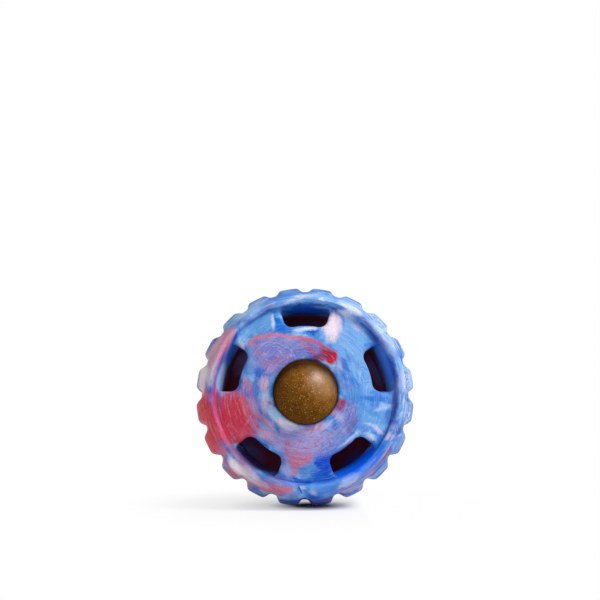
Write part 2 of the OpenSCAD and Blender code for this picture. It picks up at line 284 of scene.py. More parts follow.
# Where the colours lie on the front half: the middle of each in millimetres, its half length and half width,
# its tilt from level in degrees, its colour, how softly it ends and how strongly it covers what is under it
# Their tones are partly the rubber's own colours and partly painted light and shade: paler where the surface
# faced the light, deeper where it lay in shade.
FRONT_COLOURS = (
    # Broad ones: the face, then the ring
    (-11.1, -25.0, 15.1, 12.5, 8.7, 10, "8E82BE", 0.7, 0.85),
    (-17.8, -21.2, 27.7, 9.6, 4.3, 15, "64A0DA", 0.7, 0.9),
    (18.5, -23.3, 18.5, 12.2, 8.7, -50, "73A6DC", 0.7, 0.8),
    (21.9, -24.3, 2.5, 9.6, 7.5, 0, "528FD5", 0.7, 0.8),
    (26.0, -22.8, -10.3, 9.6, 5.2, -20, "679EDA", 0.7, 0.8),
    (-10.5, -24.7, -17.1, 9.6, 4.9, -35, "A08AC4", 0.7, 0.85),
    (-3.6, -23.6, -24.5, 7.5, 4.9, -70, "A86F9C", 0.7, 0.9),
    (1.8, -25.0, -18.8, 9.6, 5.5, 35, "A384C0", 0.7, 0.85),
    (-28.1, -22.3, -9.1, 9.6, 6.2, -75, "C23A50", 0.5, 1.0),
    (-23.8, -22.8, -14.4, 5.5, 2.9, -40, "C4425A", 0.65, 0.9),
    (-38.7, -18.9, -12.1, 11.6, 3.8, -70, "D0465A", 0.5, 1.0),
    (-34.8, -22.2, 17.2, 11.6, 3.8, 62, "D694AE", 0.5, 1.0),
    (-32.9, -20.2, -22.7, 3.2, 2.3, -50, "C87890", 0.7, 0.9),
    (-26.9, -16.4, -31.9, 8.1, 3.5, -42, "C87088", 0.55, 0.95),
    (-14.0, -20.0, -37.5, 8.7, 2.6, -17, "C86C84", 0.55, 0.95),
    (5.3, -22.7, -38.1, 7.2, 3.2, 8, "4A86DA", 0.7, 0.9),
    (18.2, -17.8, -36.9, 9.6, 3.2, 30, "8290CC", 0.7, 0.85),
    (29.1, -19.5, -27.9, 9.6, 4.1, 50, "5C8CDC", 0.7, 0.9),
    (37.9, -14.7, -18.9, 5.5, 3.5, 60, "6C96DE", 0.7, 0.9),
    (38.2, -21.9, -7.4, 7.5, 3.5, 85, "7DB0E6", 0.7, 0.8),
    (38.5, -21.8, 6.2, 7.5, 3.2, 80, "93BCE8", 0.7, 0.8),
    (31.2, -23.1, 22.0, 11.6, 3.5, -48, "A4C4EC", 0.7, 0.85),
    (17.6, -18.5, 36.8, 7.2, 2.3, -25, "6FA8E6", 0.7, 0.9),
    (5.9, -21.6, 38.7, 7.5, 2.3, -8, "84B8E8", 0.7, 0.9),
    (-6.8, -20.6, 39.1, 8.7, 2.3, 22, "5C9CE2", 0.7, 0.9),
    (-19.2, -22.7, 33.3, 8.7, 3.2, 30, "6C98DC", 0.7, 0.9),
    (-29.2, -17.7, 29.0, 4.3, 2.6, 45, "5C94DC", 0.7, 0.9),
    # The ring, clockwise from the top
    (1.3, -21.2, 39.3, 4.3, 1.0, 4, "BCD4EE", 1.0, 0.7),
    (6.4, -23.0, 37.7, 1.7, 0.4, -8, "E8F4FA", 0.9, 0.79),
    (12.5, -23.5, 35.8, 2.6, 0.8, -30, "3C7EDC", 0.85, 0.8),
    (18.5, -23.1, 33.4, 4.3, 1.4, -28, "D3D6E6", 0.65, 0.88),
    (20.8, -23.4, 31.8, 2.0, 1.4, -40, "CFD8EC", 0.9, 0.79),
    (21.5, -18.2, 34.8, 1.3, 0.3, -40, "C08090", 0.85, 0.7),
    (24.8, -24.0, 28.2, 3.8, 0.5, -33, "D2DFF2", 1.0, 0.75),
    (27.7, -23.4, 26.0, 4.3, 0.5, -30, "B8DCF0", 1.0, 0.7),
    (29.6, -16.8, 29.1, 3.2, 0.4, -40, "5CA4E4", 0.85, 0.8),
    (30.0, -24.2, 22.4, 4.9, 0.7, -42, "D6D2E6", 1.0, 0.75),
    (33.3, -22.0, 20.1, 4.3, 0.6, -38, "D0CCE2", 1.0, 0.75),
    (32.5, -21.9, 21.5, 4.3, 0.3, -42, "7FA6DC", 0.85, 0.8),
    (36.0, -15.2, 22.0, 0.9, 0.3, -40, "C85868", 0.85, 0.8),
    (37.3, -15.2, 19.7, 1.3, 0.3, -45, "D08090", 0.85, 0.8),
    (33.1, -24.8, 16.6, 3.8, 0.9, -50, "C4D6F0", 1.0, 0.7),
    (37.4, -20.9, 12.7, 3.2, 1.4, -65, "74B4E6", 0.85, 0.8),
    (37.8, -23.3, 4.0, 4.3, 0.6, 82, "DCD6E6", 1.0, 0.75),
    (42.1, -13.7, 7.1, 1.2, 0.3, 40, "C07088", 0.85, 0.8),
    (41.6, -16.4, 3.5, 2.0, 0.9, 60, "4E9CE0", 0.85, 0.9),
    (39.8, -20.3, 2.3, 2.0, 0.3, 65, "E4ECF6", 1.0, 0.79),
    (41.6, -15.8, 5.1, 1.7, 0.3, 20, "E4ECF6", 1.0, 0.79),
    (37.2, -24.5, -2.6, 3.5, 0.8, 70, "D0D2EA", 1.0, 0.75),
    (39.1, -21.4, -3.3, 3.5, 0.3, 60, "E8EEF8", 1.0, 0.75),
    (42.3, -14.6, -2.5, 2.6, 0.5, -70, "4898DC", 0.85, 0.85),
    (38.6, -21.5, -7.0, 3.8, 0.9, 65, "4E9EDE", 0.85, 0.85),
    (37.3, -22.8, -9.2, 2.6, 0.3, 60, "DCE8F4", 1.0, 0.7),
    (40.6, -15.3, -11.2, 2.0, 0.8, 25, "E2D4E2", 0.9, 0.79),
    (39.3, -16.9, -13.2, 1.7, 0.3, 75, "C07888", 0.85, 0.8),
    (35.5, -23.5, -13.3, 2.6, 1.0, -60, "D8D4E4", 1.0, 0.75),
    (33.8, -23.5, -17.3, 3.5, 1.3, 18, "D2D0E6", 0.7, 0.84),
    (37.7, -17.5, -16.7, 2.0, 0.5, 30, "DCDCEC", 1.0, 0.75),
    (29.1, -24.8, -22.8, 7.5, 1.0, 48, "1C76DA", 0.65, 0.95),
    (16.1, -25.2, -33.0, 8.7, 0.9, 28, "1F74DA", 0.65, 0.95),
    (31.4, -19.8, -25.0, 5.8, 0.5, 60, "CC6478", 0.65, 0.95),
    (26.3, -18.7, -31.0, 4.1, 0.6, 42, "C08098", 0.7, 0.9),
    (33.1, -12.3, -27.6, 3.5, 1.2, 60, "5878CC", 0.7, 0.85),
    (18.0, -21.8, -34.6, 6.1, 1.2, 28, "DDDCE2", 0.7, 0.88),
    (23.2, -22.9, -30.6, 3.2, 1.0, 40, "6EA4E0", 0.7, 0.85),
    (16.5, -16.4, -38.3, 6.7, 0.6, 22, "B890B0", 0.7, 0.85),
    (22.6, -10.1, -37.3, 1.7, 1.0, 40, "B49AC4", 0.7, 0.8),
    (19.3, -5.9, -40.2, 3.2, 0.9, 22, "4C74D0", 0.7, 0.9),
    (9.5, -24.5, -36.0, 6.7, 0.8, 12, "1E70DC", 0.65, 0.95),
    (6.4, -13.2, -42.4, 4.9, 1.2, 3, "5A58B0", 0.7, 0.9),
    (9.3, -11.3, -42.3, 2.0, 0.4, 30, "B05068", 0.85, 0.7),
    (3.3, -21.2, -39.2, 3.2, 1.0, -35, "C4CCE8", 1.0, 0.7),
    (-1.3, -23.2, -38.1, 2.3, 1.0, -40, "C6CEEA", 0.9, 0.75),
    (-2.7, -23.1, -38.1, 2.8, 0.2, -60, "2C44A0", 0.7, 0.9),
    (-5.6, -10.4, -43.2, 4.9, 1.2, 0, "2E50B8", 0.65, 0.95),
    (-4.7, -18.8, -40.4, 2.6, 0.8, -10, "8090D0", 0.7, 0.85),
    (-18.0, -8.5, -40.1, 4.3, 1.0, -20, "3A489E", 0.65, 0.95),
    (-27.1, -9.6, -34.3, 2.0, 0.6, -15, "4A4C9C", 0.7, 0.9),
    (-7.6, -22.1, -38.1, 3.2, 1.3, -22, "D08094", 0.7, 0.9),
    (-23.3, -21.1, -31.8, 9.0, 2.4, -43, "DAD0D8", 0.65, 0.88),
    (-16.0, -21.5, -35.8, 3.2, 0.8, -22, "B8A8CC", 0.7, 0.85),
    (-29.5, -22.1, -25.3, 2.3, 1.0, -50, "8FA8DC", 0.7, 0.9),
    (-20.9, -25.4, -30.1, 7.5, 0.5, -40, "8468A8", 0.7, 0.9),
    (-29.3, -13.3, -31.2, 3.8, 0.8, -48, "CC5468", 0.7, 0.9),
    (-36.5, -23.5, -10.4, 9.6, 0.9, -66, "C01E34", 0.7, 0.85),
    (-38.9, -20.5, -8.1, 7.5, 0.3, -80, "DC8494", 0.85, 0.7),
    (-31.7, -20.1, -16.8, 6.7, 0.4, -62, "D86C7C", 0.7, 0.8),
    (-41.2, -15.4, -8.4, 3.8, 1.2, 85, "D24A5C", 0.7, 0.8),
    (-39.8, -20.4, -1.2, 2.3, 1.7, 0, "D88898", 0.85, 0.7),
    (-38.4, -21.6, 7.4, 6.7, 1.9, 78, "DAD0DA", 0.7, 0.88),
    (-36.8, -21.6, 13.2, 3.8, 1.4, 70, "CDA4B8", 0.7, 0.85),
    (-42.2, -13.5, 6.6, 5.5, 0.7, 78, "CC6078", 0.7, 0.9),
    (-39.4, -13.7, 16.3, 1.7, 0.6, 70, "8C9CDC", 0.7, 0.85),
    (-36.4, -24.3, 8.3, 5.5, 0.4, 75, "A090C8", 0.7, 0.8),
    (-32.1, -25.7, 17.1, 9.6, 0.5, 66, "C85C74", 0.7, 0.9),
    (-35.3, -20.1, 5.8, 5.8, 0.5, 88, "CC6478", 0.7, 0.9),
    (-29.6, -22.6, 24.6, 3.8, 1.7, 60, "CE93A8", 0.7, 0.9),
    (-27.6, -20.1, 22.9, 3.8, 0.4, 62, "245FC2", 0.7, 0.9),
    (-24.7, -25.4, 26.9, 1.7, 1.6, 0, "DED4DC", 0.9, 0.84),
    (-21.1, -25.1, 30.1, 1.2, 0.6, -60, "ECEEF6", 0.9, 0.88),
    (-19.2, -24.1, 32.3, 3.2, 1.0, 40, "3E74CC", 0.85, 0.8),
    (-16.0, -20.1, 32.2, 5.8, 0.3, 27, "2450B4", 0.7, 0.8),
    (-18.4, -18.2, 36.6, 3.2, 0.9, 32, "A6ACDA", 0.85, 0.8),
    (-14.6, -23.6, 34.9, 3.2, 0.6, 30, "9C9ACC", 0.85, 0.8),
    (-7.9, -19.3, 39.6, 3.2, 1.0, 15, "4E96E0", 0.7, 0.85),
    (-6.8, -24.2, 36.8, 5.8, 0.8, 22, "D2DEF2", 0.9, 0.84),
    (-2.4, -22.1, 38.8, 3.8, 1.4, 6, "D8E2F0", 0.9, 0.84),
    # The face, clockwise from the top
    (-2.5, -23.5, 25.3, 7.5, 0.8, 2, "C8DCF2", 0.9, 0.75),
    (1.8, -23.4, 25.7, 5.8, 0.7, 0, "D4E2F4", 0.9, 0.75),
    (8.7, -22.9, 26.1, 2.6, 3.2, 0, "C4D2EC", 1.0, 0.7),
    (11.8, -22.5, 26.4, 7.0, 2.1, 85, "E4D2DC", 0.7, 0.88),
    (11.0, -23.8, 21.3, 2.3, 1.2, 80, "DCC0CC", 0.9, 0.75),
    (16.3, -21.9, 26.2, 5.5, 0.9, 80, "7BA9DC", 0.85, 0.8),
    (20.4, -21.2, 26.0, 3.2, 1.7, -40, "B2BAE4", 0.85, 0.8),
    (23.2, -21.6, 21.6, 5.5, 1.4, 35, "69A7DC", 0.85, 0.8),
    (26.1, -21.4, 19.0, 2.6, 1.0, 30, "347BD1", 0.7, 0.85),
    (16.2, -24.9, 10.2, 3.8, 1.0, -55, "3571C9", 0.7, 0.85),
    (17.0, -24.4, 13.5, 4.6, 0.5, -75, "4182D1", 0.85, 0.7),
    (19.9, -24.3, 9.1, 4.3, 1.3, -40, "7FABDC", 0.85, 0.75),
    (16.1, -25.4, 2.7, 4.9, 1.7, -30, "6C86C9", 0.85, 0.8),
    (20.2, -24.6, 3.9, 3.2, 1.3, -40, "3471CB", 0.85, 0.75),
    (29.0, -22.5, 1.8, 5.5, 1.7, 10, "3273CD", 0.7, 0.85),
    (27.8, -22.8, -2.5, 7.5, 1.0, -6, "2A70CB", 0.7, 0.85),
    (31.6, -21.5, -5.6, 4.9, 0.7, 20, "AAC4EC", 0.85, 0.8),
    (26.0, -23.0, -8.0, 7.0, 0.8, -25, "4D8FD5", 0.85, 0.75),
    (28.4, -21.5, -14.9, 3.8, 0.8, -45, "D6CBE4", 0.9, 0.79),
    (25.5, -22.6, -12.8, 3.2, 0.6, -15, "C2D2F0", 1.0, 0.7),
    (17.9, -23.5, -17.9, 6.7, 0.7, 35, "BCD2F2", 0.9, 0.75),
    (25.2, -22.0, -17.2, 2.9, 0.6, -40, "E0D0E0", 0.9, 0.75),
    (14.5, -23.9, -18.8, 7.5, 0.8, 42, "4382D5", 0.7, 0.8),
    (14.4, -25.6, -4.2, 2.0, 1.3, -60, "B4304E", 0.7, 0.95),
    (17.3, -24.9, -8.7, 4.9, 1.4, -70, "7A74C4", 0.7, 0.9),
    (18.9, -24.4, -10.4, 4.3, 0.5, -75, "A868A4", 0.7, 0.85),
    (16.2, -24.3, -15.3, 3.2, 0.6, 40, "A868A8", 0.7, 0.8),
    (13.0, -25.5, -9.6, 2.9, 2.0, -50, "C9BEDC", 0.9, 0.79),
    (10.7, -25.9, -7.9, 2.3, 0.8, 35, "C890A8", 0.85, 0.8),
    (12.4, -24.9, -14.8, 7.5, 1.2, 45, "7478C4", 0.7, 0.8),
    (7.2, -25.6, -13.7, 6.4, 1.0, 38, "C0BCE4", 0.9, 0.75),
    (9.5, -24.8, -17.1, 7.5, 0.5, 42, "9A86C4", 0.7, 0.8),
    (3.8, -25.6, -14.5, 3.8, 1.0, 35, "C8B8D8", 0.9, 0.75),
    (2.8, -25.6, -15.1, 2.0, 0.3, 65, "C04C60", 0.7, 0.85),
    (5.5, -25.7, -13.7, 1.7, 0.3, 60, "C86C84", 0.7, 0.8),
    (-6.8, -25.7, -13.1, 4.9, 1.4, -22, "D6C8D6", 0.9, 0.84),
    (-8.8, -25.4, -13.9, 2.9, 0.3, -30, "C8485C", 0.7, 0.7),
    (-3.0, -25.6, -15.1, 4.3, 1.0, -8, "B4B0DC", 0.7, 0.85),
    (-6.2, -24.9, -18.0, 5.5, 0.8, -8, "6977C2", 0.7, 0.85),
    (-7.1, -24.3, -21.1, 3.2, 1.3, -60, "B05C88", 0.7, 0.85),
    (-3.9, -23.0, -26.8, 4.3, 2.6, -80, "BC6A8C", 0.65, 0.95),
    (0.9, -23.3, -26.3, 3.2, 1.7, 50, "C06C8C", 0.7, 0.95),
    (2.6, -24.4, -21.7, 3.8, 1.2, 45, "A876AC", 0.7, 0.85),
    (-5.3, -21.6, -31.4, 1.7, 1.7, 80, "C8809C", 0.7, 0.9),
    (-1.0, -21.7, -31.4, 2.6, 2.3, 50, "4F86D1", 0.7, 0.9),
    (-7.9, -21.1, -32.3, 3.5, 0.8, -45, "2458C8", 0.65, 0.95),
    (-4.2, -20.6, -34.3, 5.5, 0.8, -12, "2863C6", 0.65, 0.9),
    (7.0, -22.9, -26.8, 5.5, 3.2, 62, "0E4CC8", 0.55, 1.0),
    (4.4, -21.4, -32.0, 4.9, 1.7, 20, "2868C9", 0.7, 0.9),
    (1.8, -22.2, -30.0, 1.7, 1.7, 60, "4F8DD1", 0.85, 0.8),
    (9.6, -21.5, -30.5, 3.2, 0.4, -75, "9C70A0", 0.7, 0.8),
    # Left of the pocket
    (-19.7, -24.8, -2.7, 5.5, 1.0, -82, "4870C2", 0.7, 0.9),
    (-16.3, -25.2, -6.4, 4.9, 0.9, -72, "757EC2", 0.7, 0.85),
    (-16.0, -25.4, -3.6, 5.5, 1.3, -85, "D4BCD0", 0.9, 0.79),
    (-13.4, -25.8, -4.7, 2.3, 0.7, -80, "D06C80", 0.7, 0.85),
    (-10.8, -25.8, -8.8, 4.9, 0.9, -55, "78A7DC", 0.7, 0.9),
    (-13.4, -25.5, -8.5, 3.2, 0.8, -60, "C8BEDC", 0.9, 0.75),
    (-12.0, -25.1, -13.9, 3.2, 1.3, -75, "3477CD", 0.7, 0.95),
    (-14.8, -24.8, -13.0, 4.3, 1.0, -60, "B896BC", 0.7, 0.85),
    (-17.7, -24.8, -9.3, 5.5, 0.6, -60, "B07090", 0.7, 0.85),
    (-20.6, -24.1, -10.4, 5.5, 1.0, -68, "C03A54", 0.7, 0.9),
    (-16.3, -24.0, -17.0, 5.5, 1.3, -35, "B284AC", 0.7, 0.85),
    (-23.5, -23.9, 3.4, 3.8, 1.7, -70, "B8829E", 0.7, 0.85),
    (-21.2, -23.6, 13.3, 8.1, 1.4, 88, "7795D1", 0.7, 0.85),
    (-23.6, -23.4, 10.1, 4.3, 1.3, 75, "4D86CD", 0.7, 0.85),
    (-17.7, -24.9, 7.1, 2.6, 1.7, -30, "3066C9", 0.7, 0.95),
    (-20.0, -24.7, 2.8, 3.8, 1.0, 85, "5D73C2", 0.7, 0.85),
    (-16.3, -25.4, 2.7, 3.2, 1.5, 80, "D0A4BA", 0.7, 0.9),
    (-13.5, -25.8, 2.7, 2.3, 0.8, -80, "438AD1", 0.7, 0.9),
    (-25.3, -21.6, 19.3, 2.6, 1.0, -60, "DCC6D2", 0.9, 0.84),
    (-27.9, -20.9, 19.1, 1.7, 0.3, 45, "B0A0C8", 0.7, 0.8),
    # The swirl over the pocket, and the pink arc round it that ends in a bright red spot
    (-13.4, -24.7, 15.2, 5.5, 2.6, 40, "8C86C8", 0.7, 0.8),
    (-11.1, -25.5, 11.6, 5.5, 1.3, 35, "B87C9E", 0.7, 0.8),
    (-12.8, -25.0, 13.7, 3.2, 0.6, 30, "5C74C8", 0.7, 0.85),
    (-18.3, -23.8, 15.5, 3.8, 1.0, -75, "B4708E", 0.7, 0.85),
    (-13.4, -25.3, 10.8, 3.2, 0.5, 25, "C06880", 0.7, 0.8),
    (-5.6, -25.3, 16.3, 4.9, 0.8, -15, "5A70C4", 0.7, 0.85),
    (-5.1, -25.5, 15.4, 1.4, 0.6, -20, "3A5CC4", 0.7, 0.85),
    (-4.8, -24.9, 18.9, 6.7, 0.8, -5, "868DC6", 0.7, 0.85),
    (-7.6, -25.5, 13.6, 4.3, 0.6, -10, "B0648C", 0.7, 0.8),
    (-14.0, -25.5, 8.2, 3.2, 1.0, 30, "A490C8", 0.7, 0.8),
    (-20.6, -22.4, 20.6, 3.2, 0.9, 45, "C07E96", 0.7, 0.9),
    (-14.9, -23.2, 22.1, 6.7, 0.9, 8, "C87890", 0.65, 0.95),
    (-4.8, -24.2, 22.2, 7.5, 0.8, -3, "C4809C", 0.65, 0.9),
    (1.8, -24.5, 21.0, 5.8, 0.7, -14, "C46078", 0.65, 0.95),
    (7.0, -24.8, 18.3, 3.8, 1.0, -42, "B85878", 0.65, 0.95),
    (3.8, -25.3, 16.8, 3.8, 1.3, -35, "7C70A8", 0.7, 0.9),
    (1.8, -25.4, 16.5, 2.0, 0.8, -30, "BC4C6C", 0.7, 0.8),
    (5.5, -25.7, 13.3, 3.2, 1.0, -25, "A84068", 0.7, 0.9),
    (10.1, -25.4, 13.1, 2.6, 1.8, 68, "B41828", 0.5, 1.0),
    (13.3, -25.3, 10.5, 2.3, 0.8, -70, "B8A0C4", 0.7, 0.85),
    (11.5, -25.7, 8.7, 2.3, 0.8, -55, "7586C6", 0.7, 0.8),
    # The blue at the top slot's left corner
    (-10.8, -22.4, 27.3, 4.9, 1.9, -65, "1A71D1", 0.55, 1.0),
    (-7.6, -23.3, 25.2, 3.8, 1.0, -8, "1B6ECF", 0.65, 0.95),
    (-13.1, -21.6, 28.8, 3.8, 0.6, -80, "D2E2F4", 0.9, 0.84),
    (-11.1, -25.7, 34.6, 1.7, 0.5, 40, "2048B0", 0.7, 0.8),
    # The deepest red, by the lower left slot, and thin wisps in the red above it
    (-26.7, -21.3, -18.5, 2.9, 1.2, 30, "C01628", 0.55, 1.0),
    (-25.2, -23.2, -8.6, 6.1, 0.3, 62, "D87A88", 0.85, 0.7),
    (-23.2, -23.5, -10.4, 4.3, 0.3, 55, "D8808C", 0.85, 0.7),
    (-27.8, -22.8, -2.5, 2.6, 0.3, 60, "D87884", 0.85, 0.6),
    (-31.7, -21.3, -7.6, 6.7, 0.6, -78, "B0304C", 0.85, 0.8),
    (-34.6, -20.3, -7.3, 5.8, 0.4, -82, "8C6890", 0.7, 0.85),
    # The large red and blue lumps, once more over all that
    (-42.0, -14.0, 8.0, 10.0, 4.0, 82, "C8A8C0", 0.9, 0.7),
    (-41.5, -14.0, -9.0, 14.0, 7.0, 97, "D82838", 0.6, 1.0),
    (-37.5, -13.0, -20.0, 10.0, 5.0, 118, "D83044", 0.7, 1.0),
    (-29.5, -22.0, -8.5, 11.0, 6.5, 82, "CC3C54", 0.8, 0.95),
    (-26.5, -21.0, -15.5, 7.0, 3.6, 130, "C84860", 0.9, 0.9),
    (9.0, -22.0, -29.5, 8.0, 3.8, 55, "0A4CC6", 0.8, 0.95),
    (17.0, -21.0, -32.0, 8.0, 2.4, 25, "0E58CE", 0.8, 0.9),
    # The deeper tones along the ring's foot, where it meets the face, and low on the tread. The dark blues
    # along the foot over the top and down the right are painted shade, where the wall faces away from the key
    # lamp and lies in the lip's shadow.
    (-36.2, -20.5, -3.0, 12.0, 1.6, 88, "C04860", 0.9, 0.95),
    (0.0, -8.0, -44.0, 16.0, 3.0, 0, "1E48B0", 0.8, 0.9),
    (-14.0, -9.0, -42.0, 7.0, 2.4, -20, "2A4CB4", 0.8, 0.85),
    (-27.0, -20.5, -24.5, 11.0, 1.6, -48, "A8709C", 0.9, 0.95),
    (-10.0, -20.5, -35.0, 10.0, 1.6, -15, "6E86CC", 0.9, 0.9),
    (8.0, -20.5, -35.6, 10.0, 1.6, 12, "6CA8EC", 0.9, 0.9),
    (25.0, -20.5, -26.0, 10.0, 1.8, 44, "1A6CD8", 0.9, 0.95),
    (36.0, -20.0, -6.0, 12.0, 1.8, 80, "2448B0", 0.9, 0.95),
    (35.0, -20.0, 9.0, 11.0, 1.8, -75, "1E44AC", 0.9, 0.95),
    (28.5, -20.0, 22.5, 11.0, 1.8, -50, "3058B8", 0.9, 0.9),
    (17.0, -20.0, 32.0, 10.0, 1.8, -27, "2454B8", 0.9, 0.95),
    (-18.5, -20.0, 31.2, 9.0, 1.4, 31, "2454B0", 0.9, 0.9),
    (-33.5, -20.0, 13.0, 8.0, 1.4, 68, "3A60BC", 0.9, 0.8),
    (10.6, -24.5, 14.2, 2.6, 1.6, 80, "C41A2A", 0.5, 1.0),
    # The ring's side, down to the seam
    (-43.0, -4.0, -9.0, 14.0, 6.0, 97, "D02C3C", 0.8, 1.0),
    (-39.0, -4.0, -20.5, 9.0, 5.0, 118, "D03044", 0.8, 1.0),
    (-32.0, -5.0, -30.5, 7.0, 4.0, -44, "CC4C66", 0.8, 0.9),
    (-21.0, -3.0, -39.0, 9.0, 2.4, -27, "30409C", 0.8, 0.9),
    # Off-whites and single patches on top. The near-whites on the ring's left side are partly painted light:
    # made paler than the rubber, to stand in for the light that the left side, turned away from the key lamp,
    # doesn't get.
    (-43.0, -17.0, 6.5, 9.0, 2.6, 82, "FFF2F8", 0.9, 0.85),
    (-39.5, -18.0, 17.0, 7.0, 2.2, 68, "F0BCD0", 0.9, 0.75),
    (-41.5, -16.0, 7.5, 8.0, 3.5, 84, "FFF0F6", 0.8, 0.95),
    (-29.0, -20.0, -30.0, 6.0, 3.0, -45, "FCF4FA", 0.7, 1.0),
    (-25.0, -18.0, 31.0, 8.0, 3.0, 40, "B8D8FA", 0.9, 0.8),
    (17.0, -20.0, 34.5, 6.0, 2.5, -27, "C8DCF6", 0.9, 0.8),
    (9.5, -23.0, 26.0, 7.0, 2.4, 85, "ECDCE6", 0.7, 0.85),
    (-8.0, -21.5, -30.0, 4.0, 2.0, -60, "A0B0E4", 0.8, 0.8),
    (-12.0, -25.5, -9.0, 5.0, 2.0, -60, "B0D0F8", 0.8, 0.75),
    (-8.0, -25.5, -13.0, 5.0, 2.2, -30, "E0DAF0", 0.8, 0.9),
    (8.5, -25.0, 15.5, 3.8, 2.2, -40, "98243F", 0.7, 1.0),
    (17.0, -24.5, -8.0, 8.0, 3.0, -80, "5860AC", 0.8, 0.75),
    (13.0, -25.5, -5.0, 3.0, 2.0, -60, "92284A", 0.7, 0.85),
    (8.5, -24.0, -21.5, 4.5, 2.4, 45, "3C60B8", 0.8, 0.95),
    (8.0, -21.0, -34.0, 6.0, 2.0, 15, "1260C8", 0.8, 0.85),
    (12.0, -24.5, -17.0, 4.5, 2.5, 45, "566AB4", 0.8, 0.65),
    (-33.0, -20.5, -16.5, 5.0, 3.0, -60, "D04860", 0.8, 0.9),
    (-16.0, -24.5, -17.0, 4.5, 2.0, -35, "C8A8D0", 0.8, 0.75),
    (-12.0, -21.0, -34.0, 4.0, 1.6, -20, "8A6AA0", 0.8, 0.7),
    (4.5, -22.5, 28.0, 3.5, 1.6, 0, "C4D0EA", 0.8, 0.65),
    (0.0, -24.8, 19.5, 5.0, 1.6, -5, "9A6090", 0.8, 0.7),
    (17.0, -21.0, 32.0, 5.0, 2.6, -27, "D4E4FC", 0.8, 0.9),
    (-20.0, -21.0, 32.0, 5.0, 2.4, 30, "9CC8F8", 0.8, 0.85),
    (-41.0, -17.0, 2.5, 4.2, 2.4, 85, "F4D8E4", 0.8, 0.85),
    (-37.0, -21.0, 20.0, 4.2, 2.6, 62, "ECC8DA", 0.8, 0.8),
    (17.0, -21.5, -34.0, 5.0, 1.8, 28, "C8DCF4", 0.8, 0.8),
    (41.0, -15.0, 11.0, 4.6, 2.6, -70, "5C9CE0", 0.8, 0.9),
    (17.0, -24.0, -13.0, 4.2, 2.4, -70, "5058A0", 0.8, 0.6),
    (-20.5, -24.0, -6.0, 9.0, 1.6, -80, "B47CA8", 0.9, 0.8),
    (-21.5, -23.8, -12.0, 6.0, 1.2, -60, "B078AC", 0.9, 0.75),
    (-24.5, -23.0, -5.0, 6.0, 1.0, -70, "DC8090", 0.9, 0.7),
    (4.5, -25.2, 13.6, 5.0, 1.4, -12, "6A2848", 0.9, 0.7),
)

# Where the colours turned in eddies: the middle, half length, half width and tilt, how many lines lie between
# the middle and the edge, their colours and how strongly they cover
FRONT_EDDIES = (
    (-10.0, -25.0, 15.0, 14.0, 9.0, -10, 12.0, ("B44464", "8A80C4", "5078CC", "A894CC", "BCAEDA"), 0.74),
    (3.0, -25.0, -20.0, 17.0, 8.0, 8, 11.0, ("C05878", "9088C8", "B8B0DC", "6C90D8", "E4DCE8"), 0.55),
    (16.0, -25.0, -9.0, 8.0, 5.0, 55, 8.0, ("C04A6C", "6A84D0", "B4B4DC", "4C86D8"), 0.4),
    (41.0, -15.0, 5.0, 9.0, 5.5, 82, 8.0, ("2868C4", "5C9CDC", "E4ECF4", "8CC0E8", "F0F0F4"), 0.85),
    (40.5, -15.0, -7.0, 8.0, 5.0, -80, 8.0, ("2868C4", "5C9CDC", "D8E4F0", "7CB4E4"), 0.8),
    (30.0, -17.0, 29.0, 12.0, 4.5, -48, 8.0, ("3C7CCC", "6CA8E0", "D4E4F2", "9CC4E8"), 0.7),
    (-29.0, -23.0, -8.0, 13.0, 9.0, 75, 6.0, ("B02038", "C83450", "CC3C54", "DC7488"), 0.42),
    (-41.0, -15.0, -10.0, 12.0, 6.0, 95, 6.0, ("B8283C", "D43C4C", "DC4C58", "E07480"), 0.5),
    (24.0, -23.0, 6.0, 10.0, 7.0, -70, 8.0, ("3C80D4", "6CA8E4", "9CC8EE", "5896DE"), 0.5),
)

# Colours placed in the same way as the first, on the ring's wall where it shows through the slots. They are
# partly painted light: brighter than the rubber, palest on the left wall that faces the key lamp, to stand in
# for light that hardly reaches into the slots, with a dark purple at the lower left for the shade there.
FRONT_INSIDE = (
    (0.0, -13.0, 34.5, 13.0, 3.5, 0, "1250B8", 0.7, 1.0),
    (32.5, -14.0, 11.5, 11.0, 3.6, -72, "5090FF", 0.7, 1.0),
    (31.5, -3.0, 10.0, 8.0, 3.5, -72, "9A88D8", 0.9, 0.9),
    (20.5, -16.0, -28.0, 13.0, 4.5, 36, "0C6CFF", 0.6, 1.0),
    (-20.5, -14.0, -28.0, 12.0, 3.6, -36, "3C2C64", 0.7, 1.0),
    (-34.3, -16.0, 5.5, 7.5, 3.6, 80, "ACC8F8", 0.6, 1.0),
    (-30.2, -16.0, 17.0, 5.5, 3.6, 60, "4074E8", 0.6, 1.0),
    (-33.0, -4.0, 7.0, 7.0, 3.0, 80, "A06498", 0.9, 0.8),
)

# A colour is drawn out in streaks of this size in millimetres, in one of so many ways
WAYS, STREAK = 6, (9.0, 6.0, 2.0)


